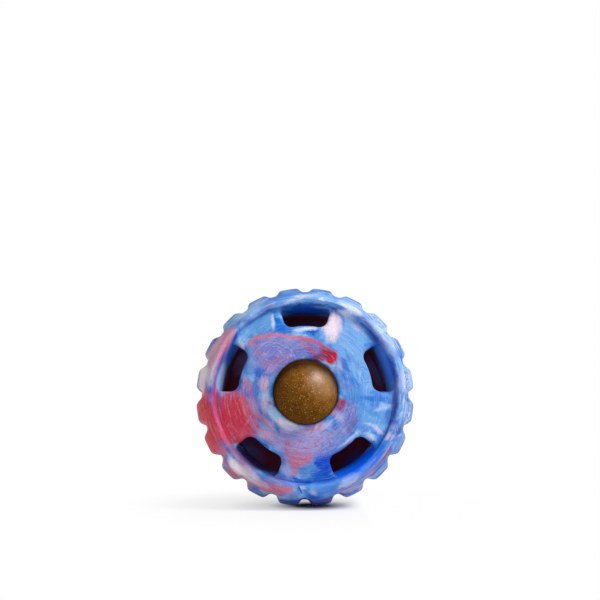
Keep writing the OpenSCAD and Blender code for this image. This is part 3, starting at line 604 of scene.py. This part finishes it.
def laid_colours(rows):
    """A node group that lays each row's colour over the last, in the streaked space nearest its tilt."""
    group = bpy.data.node_groups.new("laid_colours", "ShaderNodeTree")
    group.interface.new_socket("Under", in_out="INPUT", socket_type="NodeSocketColor")
    for i in range(WAYS + 1):
        group.interface.new_socket(f"Way {i}", in_out="INPUT", socket_type="NodeSocketVector")
    group.interface.new_socket("Over", in_out="OUTPUT", socket_type="NodeSocketColor")
    given = group.nodes.new("NodeGroupInput").outputs
    colour = given["Under"]
    for x, y, z, long, wide, tilt, code, soft, cover in rows:
        # An ellipsoid that reaches a little past the colour's visible edge and well below the surface
        size = (long * 1.2, max(5.0, (long + wide) * 0.7), wide * 1.45 + 0.3)
        # A short, round patch would be torn up by the streaks, so it lies in the last space, which has none
        way = WAYS if long < min(4, 2 * wide) else round(tilt * WAYS / 180) % WAYS
        turn = (0, -math.radians(tilt), 0)
        cell = {"Vector": given[f"Way {way}"], "Location": (x, y, z), "Rotation": turn, "Scale": size}
        unit = add(group, "Mapping", cell, vector_type="TEXTURE")
        near = add(group, "TexGradient", {0: unit}, out="Fac", gradient_type="SPHERICAL")
        edge = {"Value": near, "From Max": soft, "To Max": cover}
        amount = add(group, "MapRange", edge, interpolation_type="SMOOTHSTEP")
        colour = add(group, "Mix", {0: amount, "A": colour, "B": code}, data_type="RGBA")
    group.links.new(colour, group.nodes.new("NodeGroupOutput").inputs["Over"])
    return group


def marbled_rubber(name, colours, eddies, inside, way, shift, dark_r):
    """Rubber pressed from blue, red, pink and off-white lumps that smear into each other as the mould fills.

    way is -1 along an axis on which the colours are mirrored, shift moves the noise, and dark_r is the radius
    of the dome, in millimetres, under which the dark of the inside starts."""
    rubber = bpy.data.materials.new(name)
    rubber.use_nodes = True
    tree = rubber.node_tree
    place = add(tree, "TexCoord", out="Object")
    mm = add(tree, "VectorMath", {0: place, 1: [w / MM for w in way]}, operation="MULTIPLY")
    at = add(tree, "VectorMath", {0: mm, 1: shift})
    # The way out from the ball's axis, and a stretched space whose noise makes streaks round it
    flat = add(tree, "VectorMath", {0: mm, 1: (1, 0, 1)}, operation="MULTIPLY")
    reach = add(tree, "VectorMath", {0: flat}, operation="LENGTH")
    away = add(tree, "VectorMath", {0: flat}, operation="NORMALIZE")
    depth = add(tree, "SeparateXYZ", {0: mm}, out="Y")
    rise = add(tree, "Math", {0: depth, 1: 0.3}, operation="MULTIPLY")
    rise = add(tree, "Math", {0: reach, 1: 0.5, 2: rise}, operation="MULTIPLY_ADD")
    rise = add(tree, "CombineXYZ", {"Y": rise})
    drawn = add(tree, "VectorMath", {0: away, 1: (1.6, 1.6, 1.6), 2: rise}, operation="MULTIPLY_ADD")
    drawn = add(tree, "VectorMath", {0: drawn, 1: shift})
    # The flow of the rubber pushes every colour about, slowly over 15 mm and finely over 2 mm
    slow = add(tree, "TexNoise", {"Vector": at, "Scale": 0.065, "Detail": 1.0}, out="Color")
    slow = add(tree, "VectorMath", {0: slow, 1: (0.5, 0.5, 0.5)}, operation="SUBTRACT")
    fine = add(tree, "TexNoise", {"Vector": at, "Scale": 0.5, "Detail": 2.0, "Roughness": 0.6}, out="Color")
    fine = add(tree, "VectorMath", {0: fine, 1: (0.5, 0.5, 0.5)}, operation="SUBTRACT")
    laid = add(tree, "VectorMath", {0: slow, 1: (3, 3, 3), 2: mm}, operation="MULTIPLY_ADD")
    laid = add(tree, "VectorMath", {0: fine, 1: (1.3, 1.3, 1.3), 2: laid}, operation="MULTIPLY_ADD")
    # Each colour is also drawn out in streaks along its own length
    ways = {}
    for i in range(WAYS):
        turn = math.pi / WAYS * i
        cell = {"Vector": at, "Rotation": (0, -turn, 0), "Scale": STREAK}
        cell = add(tree, "Mapping", cell, vector_type="TEXTURE")
        pull = add(tree, "TexNoise", {"Vector": cell, "Scale": 1.0, "Detail": 3.0, "Roughness": 0.6})
        pull = add(tree, "Math", {0: pull, 1: 0.5}, operation="SUBTRACT")
        along = (STREAK[0] * math.cos(turn), 0, STREAK[0] * math.sin(turn))
        ways[i + 1] = add(tree, "VectorMath", {0: pull, 1: along, 2: laid}, operation="MULTIPLY_ADD")
    ways[WAYS + 1] = laid
    # The mix where no listed colour lies: blues with pale wisps, and pinks where the red lumps ended up
    far = add(tree, "VectorMath", {0: at, 1: (1, 1, 1), 2: drawn}, operation="MULTIPLY_ADD")
    far = add(tree, "VectorMath", {0: slow, 1: (30, 30, 30), 2: far}, operation="MULTIPLY_ADD")
    field = add(tree, "TexNoise", {"Vector": far, "Scale": 0.075, "Detail": 4.0, "Roughness": 0.5})
    blues = ((0.30, "0E48BC"), (0.42, "2F74D6"), (0.52, "5C96E2"), (0.60, "8FB6E8"), (0.68, "D2D6E4"))
    blue = add(tree, "ValToRGB", {0: field}, blues)
    field = add(tree, "TexNoise", {"Vector": far, "Scale": 0.11, "Detail": 3.0, "Roughness": 0.5})
    pinks = ((0.30, "A82038"), (0.42, "C8405A"), (0.52, "C0708C"), (0.62, "9880C0"), (0.70, "CFC4D8"))
    pink = add(tree, "ValToRGB", {0: field}, pinks)
    lump = add(tree, "TexNoise", {"Vector": far, "Scale": 0.032, "Detail": 2.0})
    lump = {"Value": lump, "From Min": 0.50, "From Max": 0.57}
    lump = add(tree, "MapRange", lump, interpolation_type="SMOOTHSTEP")
    colour = add(tree, "Mix", {0: lump, "A": blue, "B": pink}, data_type="RGBA")
    # On the face a cloudy light blue lies under everything else
    cloud = add(tree, "TexNoise", {"Vector": laid, "Scale": 0.16, "Detail": 5.0, "Roughness": 0.6})
    skies = ((0.37, "1452B8"), (0.46, "3678CE"), (0.54, "5496DE"), (0.64, "92C2EE"))
    cloud = add(tree, "ValToRGB", {0: cloud}, skies)
    front = add(tree, "MapRange", {"Value": depth, "From Min": 2.0, "From Max": -7.0, "To Max": 0.95})
    colour = add(tree, "Mix", {0: front, "A": colour, "B": cloud}, data_type="RGBA")
    # Then the placed colours, twenty to a node group
    for i in range(0, len(colours), 20):
        colour = add(tree, "Group", {0: colour} | ways, node_tree=laid_colours(colours[i : i + 20]))
    # Eddies: thin lines of several colours round a centre, which die away towards the edge
    for x, y, z, long, wide, tilt, lines, tones, cover in eddies:
        turn, size = (0, -math.radians(tilt), 0), (long, 1.4 * long, wide)
        cell = {"Vector": laid, "Location": (x, y, z), "Rotation": turn, "Scale": size}
        unit = add(tree, "Mapping", cell, vector_type="TEXTURE")
        ring = add(tree, "VectorMath", {0: unit}, operation="LENGTH")
        ring = add(tree, "Math", {0: ring, 1: lines}, operation="MULTIPLY")
        ring = add(tree, "CombineXYZ", {"X": ring, "Y": z})
        toward = add(tree, "VectorMath", {0: unit}, operation="NORMALIZE")
        ring = add(tree, "VectorMath", {0: toward, 1: (1.6, 1.6, 1.6), 2: ring}, operation="MULTIPLY_ADD")
        band = add(tree, "TexNoise", {"Vector": ring, "Scale": 1.0, "Detail": 3.0, "Roughness": 0.6})
        stops = [(0.32 + 0.36 * i / (len(tones) - 1), code) for i, code in enumerate(tones)]
        band = add(tree, "ValToRGB", {0: band}, stops)
        near = add(tree, "TexGradient", {0: unit}, out="Fac", gradient_type="SPHERICAL")
        edge = {"Value": near, "From Max": 0.7, "To Max": cover}
        amount = add(tree, "MapRange", edge, interpolation_type="SMOOTHSTEP")
        colour = add(tree, "Mix", {0: amount, "A": colour, "B": band}, data_type="RGBA")
    # Pale and dark threads, drawn out round the axis: fine ones all over, and broad ones with clear edges at
    # the upper right of the ring alone
    right = add(tree, "VectorMath", {0: mm, 1: (0.85, 0.0, 0.5)}, operation="DOT_PRODUCT")
    right = add(tree, "MapRange", {"Value": right, "From Min": -4.0, "From Max": 10.0})
    rim = add(tree, "MapRange", {"Value": reach, "From Min": 35.0, "From Max": 37.0})
    there = add(tree, "Math", {0: right, 1: rim}, operation="MULTIPLY")
    for scale, edge, pale, deep, where in ((3.0, 0.2, 0.28, 0.4, 1.0), (1.0, 0.07, 0.5, 0.5, there)):
        lines = {"Vector": drawn, "Scale": scale, "Detail": 4.0, "Roughness": 0.6, "Distortion": 0.4}
        thread = add(tree, "TexNoise", lines)
        over = {"Value": thread, "From Min": 0.54, "From Max": 0.54 + edge, "To Max": pale}
        amount = add(tree, "Math", {0: add(tree, "MapRange", over), 1: where}, operation="MULTIPLY")
        colour = add(tree, "Mix", {0: amount, "A": colour, "B": "C8D8F0"}, data_type="RGBA")
        under = {"Value": thread, "From Min": 0.48, "From Max": 0.48 - edge, "To Max": deep}
        amount = add(tree, "Math", {0: add(tree, "MapRange", under), 1: where}, operation="MULTIPLY")
        dark = {0: amount, "A": colour, "B": "9AA0DC"}
        colour = add(tree, "Mix", dark, data_type="RGBA", blend_type="MULTIPLY")
    # A grain of a quarter to half a millimetre runs through it all
    grain = add(tree, "TexNoise", {"Vector": at, "Scale": 2.2, "Detail": 2.0, "Roughness": 0.7})
    grain = {"Value": grain, "From Min": 0.25, "From Max": 0.75, "To Min": 0.8, "To Max": 1.2}
    colour = add(tree, "VectorMath", {0: colour, "Scale": add(tree, "MapRange", grain)}, operation="SCALE")
    # Inside the ball, under the face, within the ring and round the hub, the colour turns to a dark maroon
    level = add(tree, "VectorMath", {0: mm, 1: (0, -DOME_C / MM, 0)}, operation="DISTANCE")
    under = {"Value": level, "From Min": dark_r, "From Max": dark_r - 5.0}
    under = add(tree, "MapRange", under, interpolation_type="SMOOTHSTEP")
    within = add(tree, "MapRange", {"Value": reach, "From Min": 36.4, "From Max": 35.6})
    round_hub = add(tree, "MapRange", {"Value": reach, "From Min": 14.0, "From Max": 15.0})
    within = add(tree, "Math", {0: round_hub, 1: within}, operation="MULTIPLY")
    within = add(tree, "Math", {0: under, 1: within}, operation="MULTIPLY")
    colour = add(tree, "Mix", {0: within, "A": colour, "B": "963A52"}, data_type="RGBA")
    colour = add(tree, "Group", {0: colour} | ways, node_tree=laid_colours(inside))
    # Moulded rubber has a satin skin, with broad and faint lights
    bsdf = tree.nodes["Principled BSDF"]
    tree.links.new(colour, bsdf.inputs["Base Color"])
    bsdf.inputs["Roughness"].default_value = 0.45
    bsdf.inputs["IOR"].default_value = 1.5
    bsdf.inputs["Specular IOR Level"].default_value = 0.08
    return rubber


# The ring and the face each take the colours that reach them, in millimetres from the axis, because one
# material can't hold them all
RING_FROM, FACE_TO = 36, 38
on_ring = [c for c in FRONT_COLOURS if math.hypot(c[0], c[2]) + 0.5 * c[3] > RING_FROM]
on_face = [c for c in FRONT_COLOURS if math.hypot(c[0], c[2]) < FACE_TO]
ring_eddies = [c for c in FRONT_EDDIES if math.hypot(c[0], c[2]) > RING_FROM]
as_seen = {"way": (1, 1, 1), "shift": (0, 0, 0), "dark_r": 91.0}
ring_rubber = marbled_rubber("marbled_natural_rubber_ring", on_ring, ring_eddies, FRONT_INSIDE, **as_seen)
face_rubber = marbled_rubber("marbled_natural_rubber_face", on_face, FRONT_EDDIES, (), **as_seen)
front_tread = moulding("front_tread_ring", tread_ring(), math.pi / 2)
front_face = moulding("front_slotted_face", face_and_hub(SLOT_HALF), math.pi / 2)
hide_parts("front_tread")
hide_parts("front_face", "front_hub")
for piece, rubber in ((front_tread, ring_rubber), (front_face, face_rubber)):
    piece.data.materials.append(rubber)
    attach(piece, "ball")


# ---- Rear half shell ----
# The same moulding of the same rubber, with shorter slots. It is turned round and bonded to the front half,
# so that its slots lie between the front ones.
REAR_SLOT_HALF = 13
# What shows of its inside through the front slots: purple and navy at their ends. They are partly painted
# light: the pale purples stand in for the light that falls in through the slots onto the inside.
REAR_INSIDE = (
    (-24.0, -17.0, -22.0, 9.0, 4.5, -45, "8C88E8", 0.9, 1.0),
    (-26.0, -17.0, 17.0, 8.0, 6.0, 60, "B89CE0", 0.9, 1.0),
    (31.5, -17.0, 12.0, 9.0, 3.2, -62, "9C8CE0", 0.9, 0.95),
    (20.0, -17.0, -25.5, 9.0, 3.0, 35, "4458B0", 0.9, 0.9),
    (0.0, -17.0, 32.5, 12.0, 2.0, 0, "6A4A90", 0.9, 0.8),
)
# The front's colours, mirrored so that they run on over the seam, and pushed about by other noise. The ring
# has only the long ones, of 7 mm or more to either side.
on_rear_ring = [c for c in on_ring if c[3] >= 7]
mirrored = {"way": (1, -1, 1), "shift": (71, 33, -52), "dark_r": 100.0}
rear_ring_rubber = marbled_rubber("marbled_natural_rubber_rear_ring", on_rear_ring, (), (), **mirrored)
rear_face_rubber = marbled_rubber(
    "marbled_natural_rubber_rear_face", on_face, FRONT_EDDIES, REAR_INSIDE, **mirrored
)
rear_tread = moulding("rear_tread_ring", tread_ring(), -math.pi / 2)
rear_face = moulding("rear_slotted_face", face_and_hub(REAR_SLOT_HALF), -math.pi / 2)
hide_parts("rear_tread")
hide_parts("rear_face", "rear_hub")
for piece, rubber in ((rear_tread, rear_ring_rubber), (rear_face, rear_face_rubber)):
    piece.data.materials.append(rubber)
    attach(piece, "ball")


# ---- Treat ----
# A hard baked ball, pushed into the front half's pocket until the rubber grips it past its middle.
# It is made of ground meal, so it is brown with golden grains and small dark pits.
TREAT_R, TREAT_C = 12.7 * MM, Vector((0, -24.6 * MM, 0))
bm = bmesh.new()
bmesh.ops.create_icosphere(bm, subdivisions=6, radius=TREAT_R)
bmesh.ops.translate(bm, verts=bm.verts, vec=TREAT_C)
treat = piece_from("treat_ball", bm)
biscuit = bpy.data.materials.new("baked_treat_dough")
biscuit.use_nodes = True
tree = biscuit.node_tree
place = add(tree, "TexCoord", out="Object")
mm = add(tree, "VectorMath", {0: place, "Scale": 1 / MM}, operation="SCALE")
crust = add(tree, "TexNoise", {"Vector": mm, "Scale": 0.3, "Detail": 6.0, "Roughness": 0.65})
browns = ((0.34, "70461A"), (0.46, "84541C"), (0.58, "926026"), (0.68, "A06E34"))
colour = add(tree, "ValToRGB", {0: crust}, browns)
# It is darker low on its left, the side turned away from the key lamp: painted shade
side = add(tree, "VectorMath", {0: mm, 1: (0.62, 0.0, 0.78)}, operation="DOT_PRODUCT")
side = {"Value": side, "From Min": 7.0, "From Max": -10.0, "To Max": 0.75}
side = add(tree, "MapRange", side, interpolation_type="SMOOTHSTEP")
colour = add(tree, "Mix", {0: side, "A": colour, "B": "4A2800"}, data_type="RGBA")
# Grains of about half a millimetre, pits a little larger, and the brightest grains over both
grain = add(tree, "TexNoise", {"Vector": mm, "Scale": 2.2, "Detail": 2.0, "Roughness": 0.7})
gold = add(tree, "MapRange", {"Value": grain, "From Min": 0.58, "From Max": 0.68, "To Max": 0.7})
colour = add(tree, "Mix", {0: gold, "A": colour, "B": "C49C5C"}, data_type="RGBA")
pit = add(tree, "TexNoise", {"Vector": mm, "Scale": 1.5, "Detail": 1.0})
pit = {"Value": pit, "From Min": 0.31, "From Max": 0.24}
pit = add(tree, "MapRange", pit, interpolation_type="SMOOTHSTEP")
colour = add(tree, "Mix", {0: pit, "A": colour, "B": "2E1A06"}, data_type="RGBA")
spark = add(tree, "MapRange", {"Value": grain, "From Min": 0.685, "From Max": 0.755})
colour = add(tree, "Mix", {0: spark, "A": colour, "B": "E4C088"}, data_type="RGBA")
# Towards its edge in the pocket, and most at the top, the colour is darkened and the gloss taken away:
# painted shade round its rim
rim_shade = add(tree, "VectorMath", {0: mm, 1: (0.0, 1.0, 0.5)}, operation="DOT_PRODUCT")
rim_shade = {"Value": rim_shade, "From Min": -32.5, "From Max": -26.0}
rim_shade = add(tree, "MapRange", rim_shade, interpolation_type="SMOOTHSTEP")
dark = add(tree, "Math", {0: rim_shade, 1: 0.85}, operation="MULTIPLY")
colour = add(tree, "Mix", {0: dark, "A": colour, "B": "2C1606"}, data_type="RGBA")
# Its gloss is raised only at its upper right, where the key lamp's highlight lands: a painted highlight
highlight_spot = add(tree, "VectorMath", {0: mm, 1: -TREAT_C / MM})
highlight_spot = add(tree, "VectorMath", {0: highlight_spot, 1: (0.52, -0.78, 0.36)}, operation="DOT_PRODUCT")
highlight_spot = {"Value": highlight_spot, "From Min": 9.3, "From Max": 12.4, "To Max": 0.65}
highlight_spot = add(tree, "MapRange", highlight_spot, interpolation_type="SMOOTHSTEP")
beyond_rim_shade = add(tree, "Math", {0: 1.0, 1: rim_shade}, operation="SUBTRACT")
highlight_spot = add(tree, "Math", {0: highlight_spot, 1: beyond_rim_shade}, operation="MULTIPLY")
rough = {"Value": crust, "From Min": 0.3, "From Max": 0.7, "To Min": 0.34, "To Max": 0.46}
rough = add(tree, "MapRange", rough)
# Its surface rolls with the crust, is grainy, and sinks in the pits
height = add(tree, "Math", {0: grain, 1: 0.25}, operation="MULTIPLY")
height = add(tree, "Math", {0: crust, 1: 0.6, 2: height}, operation="MULTIPLY_ADD")
height = add(tree, "Math", {0: height, 1: pit}, operation="SUBTRACT")
bump = add(tree, "Bump", {"Height": height, "Strength": 0.9, "Distance": 0.25 * MM})
bsdf = tree.nodes["Principled BSDF"]
made = {"Base Color": colour, "Specular IOR Level": highlight_spot, "Roughness": rough, "Normal": bump}
for key, value in made.items():
    tree.links.new(value, bsdf.inputs[key])
treat.data.materials.append(biscuit)
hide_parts("treat")
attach(treat, "treat")


# ---- Floor, light and camera ----
# A white paper sweep under the ball, which leans back on it, a large soft lamp at the upper right, a weak one
# in front, and a pale surround.
LEAN = math.radians(5.5)
# The paper's half depth in metres, how far it reaches behind the ball, and how much wider it is than deep
FLOOR_HALF, FLOOR_BACK, FLOOR_STRETCH = 0.5, 0.11, 1.2
up = Vector((0, -math.sin(LEAN), math.cos(LEAN)))
low = min(up.dot(v.co) for o in (front_tread, rear_tread) for v in o.data.vertices)
bm = bmesh.new()
bmesh.ops.create_grid(bm, x_segments=1, y_segments=1, size=FLOOR_HALF)
bmesh.ops.scale(bm, vec=(FLOOR_STRETCH, 1, 1), verts=bm.verts)
bmesh.ops.translate(bm, vec=(0, FLOOR_BACK - FLOOR_HALF, low), verts=bm.verts)
bmesh.ops.rotate(bm, cent=(0, 0, 0), matrix=Matrix.Rotation(LEAN, 3, "X"), verts=bm.verts)
floor = piece_from("floor", bm)


def seen_itself(tree):
    """1 where something is seen, directly, in a gloss or through glass, and 0 where it only gives light."""
    rays = add(tree, "LightPath").node.outputs
    seen = add(tree, "Math", {0: rays["Is Camera Ray"], 1: rays["Is Glossy Ray"]}, operation="MAXIMUM")
    return add(tree, "Math", {0: seen, 1: rays["Is Transmission Ray"]}, operation="MAXIMUM")


paper = bpy.data.materials.new("white_paper_sweep")
paper.use_nodes = True
tree = paper.node_tree
bsdf = tree.nodes["Principled BSDF"]
bsdf.inputs["Base Color"].default_value = (0.92, 0.92, 0.92, 1)
bsdf.inputs["Roughness"].default_value = 1
bsdf.inputs["Specular IOR Level"].default_value = 0
# To the camera the paper is mostly plain white, so that the ball's shadow on it is as faint as in a studio:
# wholly so from 80 mm out, not at all under the ball, and almost at once to the right of it
white = add(tree, "Emission", {"Color": (1, 1, 1, 1), "Strength": 1.0})
place = add(tree, "TexCoord", out="Object")
near = add(tree, "VectorMath", {0: place, 1: (-3 * MM, -4 * MM, -low)})
near = add(tree, "VectorMath", {0: near, 1: (1, 0.75, 1)}, operation="MULTIPLY")
near = add(tree, "VectorMath", {0: near}, operation="LENGTH")
near = add(tree, "Math", {0: near, 1: 80 * MM}, operation="DIVIDE")
shares = ((0.08, 0.0), (0.225, 0.55), (0.44, 0.79), (0.84, 0.96), (1.0, 1.0))
part = add(tree, "ValToRGB", {0: near}, [(x, (v, v, v, 1)) for x, v in shares])
right = add(tree, "SeparateXYZ", {0: place}, out="X")
right = add(tree, "MapRange", {"Value": right, "From Min": 12 * MM, "From Max": 24 * MM, "To Max": 0.97})
part = add(tree, "Math", {0: part, 1: right}, operation="MAXIMUM")
part = add(tree, "Math", {0: seen_itself(tree), 1: part}, operation="MULTIPLY")
both = add(tree, "MixShader", {0: part, 1: bsdf.outputs[0], 2: white})
tree.links.new(both, tree.nodes["Material Output"].inputs["Surface"])
floor.data.materials.append(paper)

# The surround is white to the camera, but as a light it has only this strength
PALE = 0.26
world = bpy.data.worlds.new("pale_surround")
world.use_nodes = True
bpy.context.scene.world = world
tree = world.node_tree
level = add(tree, "MapRange", {"Value": seen_itself(tree), "To Min": PALE, "To Max": 1.0})
tree.links.new(level, tree.nodes["Background"].inputs["Strength"])
tree.nodes["Background"].inputs["Color"].default_value = (1, 1, 1, 1)


def lamp(name, toward, distance, size, power):
    """A square soft lamp, in metres and watts, that lies that way and that far from the ball and faces it."""
    data = bpy.data.lights.new(name, "AREA")
    data.size, data.energy = size, power
    o = bpy.data.objects.new(name, data)
    o.location = Vector(toward).normalized() * distance
    o.rotation_euler = Vector(toward).to_track_quat("Z", "Y").to_euler()
    bpy.context.scene.collection.objects.link(o)


lamp("key_softbox", (0.6, -0.42, 0.68), 1.4, 0.6, 17)
lamp("front_fill_softbox", (-0.25, -1, 0.12), 1.4, 0.9, 4)

# The camera stands as far off as the sizes of near and far circles in the photograph say, a little below the
# ball's axis and to its left, and sees the ball's centre at BALL_AT, in pixels from the upper left corner
DISTANCE, LENS_PX, FRAME_PX, SENSOR = 0.623, 1511, 600, 36
BALL_AT = (304.9, 396.9)
BELOW, ASIDE = math.radians(4.4), math.radians(0.7)


def heading(yaw, pitch):
    """The direction that far to the right of straight ahead, and that far above it."""
    return Vector((math.sin(yaw) * math.cos(pitch), math.cos(yaw) * math.cos(pitch), math.sin(pitch)))


camera = bpy.data.objects.new("camera", bpy.data.cameras.new("camera"))
camera.data.sensor_width = SENSOR
camera.data.lens = LENS_PX / FRAME_PX * SENSOR
camera.location = -DISTANCE * heading(ASIDE, BELOW)
pitch = BELOW + math.atan((BALL_AT[1] - FRAME_PX / 2) / LENS_PX)
yaw = ASIDE - math.atan((BALL_AT[0] - FRAME_PX / 2) / LENS_PX)
camera.rotation_euler = heading(yaw, pitch).to_track_quat("-Z", "Y").to_euler()
bpy.context.scene.collection.objects.link(camera)
bpy.context.scene.camera = camera
bpy.context.scene.view_settings.view_transform = "Standard"
